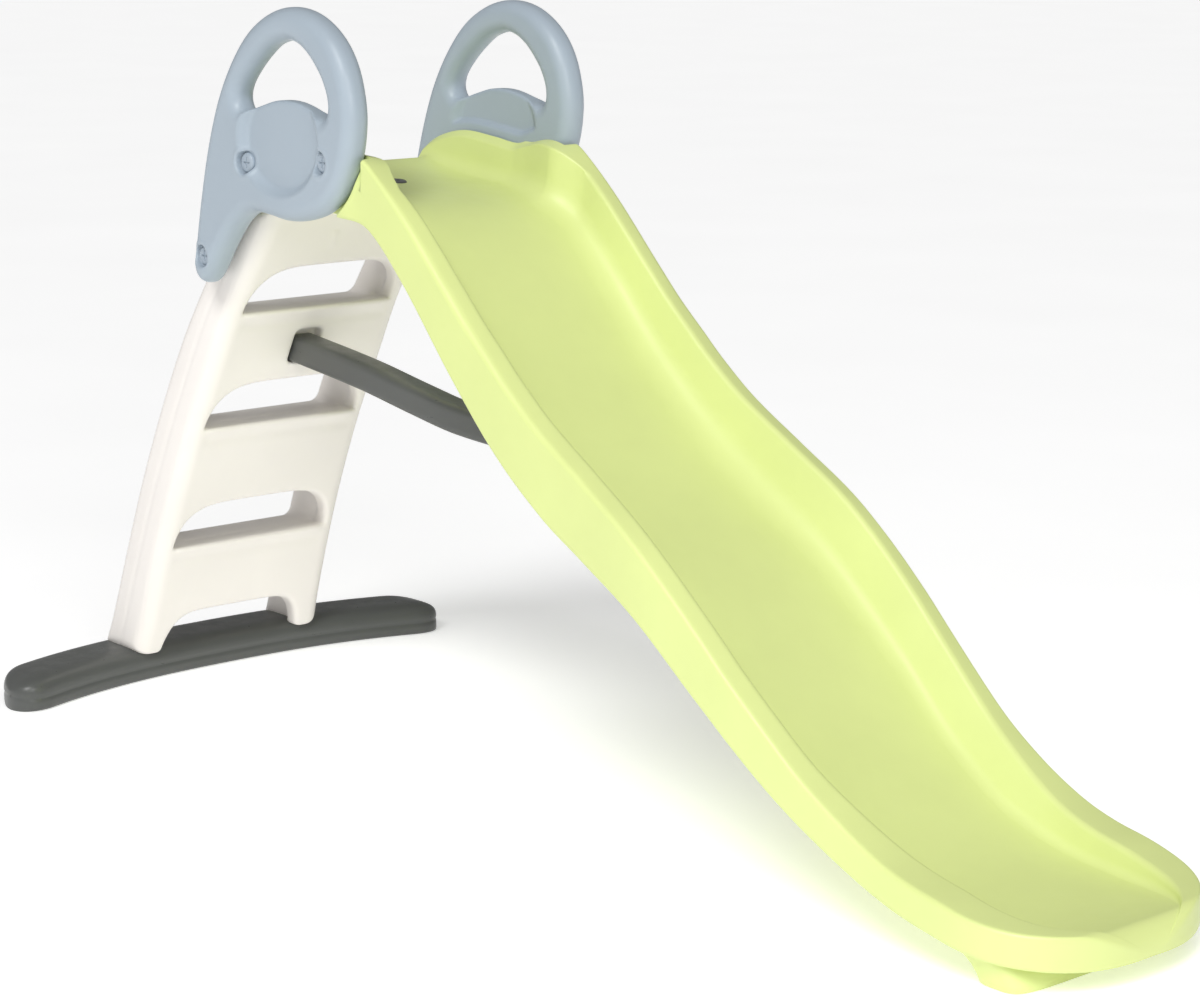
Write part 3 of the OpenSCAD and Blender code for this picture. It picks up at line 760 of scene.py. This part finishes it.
def add_floor():
    mesh = bpy.data.meshes.new("studio_floor")
    corners = [(-1, -1), (1, -1), (1, 1), (-1, 1)]
    mesh.from_pydata([(x * FLOOR_SIZE, y * FLOOR_SIZE, 0) for x, y in corners], [], [(0, 1, 2, 3)])
    floor = bpy.data.objects.new("studio_floor", mesh)
    bpy.context.scene.collection.objects.link(floor)
    mesh.materials.append(studio_floor())


def place(name, data, location, direction):
    """A lamp or a camera that looks along the direction."""
    thing = bpy.data.objects.new(name, data)
    thing.location = location
    thing.rotation_mode = "QUATERNION"
    thing.rotation_quaternion = Vector(direction).to_track_quat("-Z", "Y")
    bpy.context.scene.collection.objects.link(thing)
    return thing


def area_light(name, location, size, power):
    """A round lamp aimed at the slide; its size is in metres and its power in watts."""
    data = bpy.data.lights.new(name, "AREA")
    data.shape = "DISK"
    data.size, data.energy = size, power
    place(name, data, location, Vector(LIT_POINT) - Vector(location))


def add_light():
    area_light("key", (0.6, -4.6, 2.6), 2.4, 12)
    area_light("front", (3.0, -1.8, 2.3), 1.8, 46)
    sun = bpy.data.lights.new("sky", "SUN")
    sun.energy, sun.angle = 1.6, math.radians(20)
    place("sky", sun, (0, 0, 0), (-0.34, 0.62, -0.70))
    world = bpy.data.worlds.new("studio")
    world.use_nodes = True
    back = world.node_tree.nodes["Background"]
    back.inputs["Color"].default_value = (1, 1, 1, 1)
    back.inputs["Strength"].default_value = 0.26
    bpy.context.scene.world = world
    bpy.context.scene.view_settings.view_transform = "Standard"


def add_camera():
    """The camera of the picture: a long lens, seen from the far end of the slide on its right."""
    data = bpy.data.cameras.new("camera")
    data.sensor_width, data.lens = 36.0, 89.73
    data.shift_x, data.shift_y = 0.00083, -0.00458
    data.clip_start, data.clip_end = 0.1, 200
    azimuth, pitch = math.radians(CAMERA_AZIMUTH), math.radians(CAMERA_PITCH)
    ahead = (-math.sin(azimuth) * math.cos(pitch), math.cos(azimuth) * math.cos(pitch),
             -math.sin(pitch))
    location = ((CAMERA_X + DATUM_X) * MM, CAMERA_Y * MM, CAMERA_Z * MM)
    bpy.context.scene.camera = place("camera", data, location, ahead)


add_camera()
add_pieces()
add_floor()
add_light()
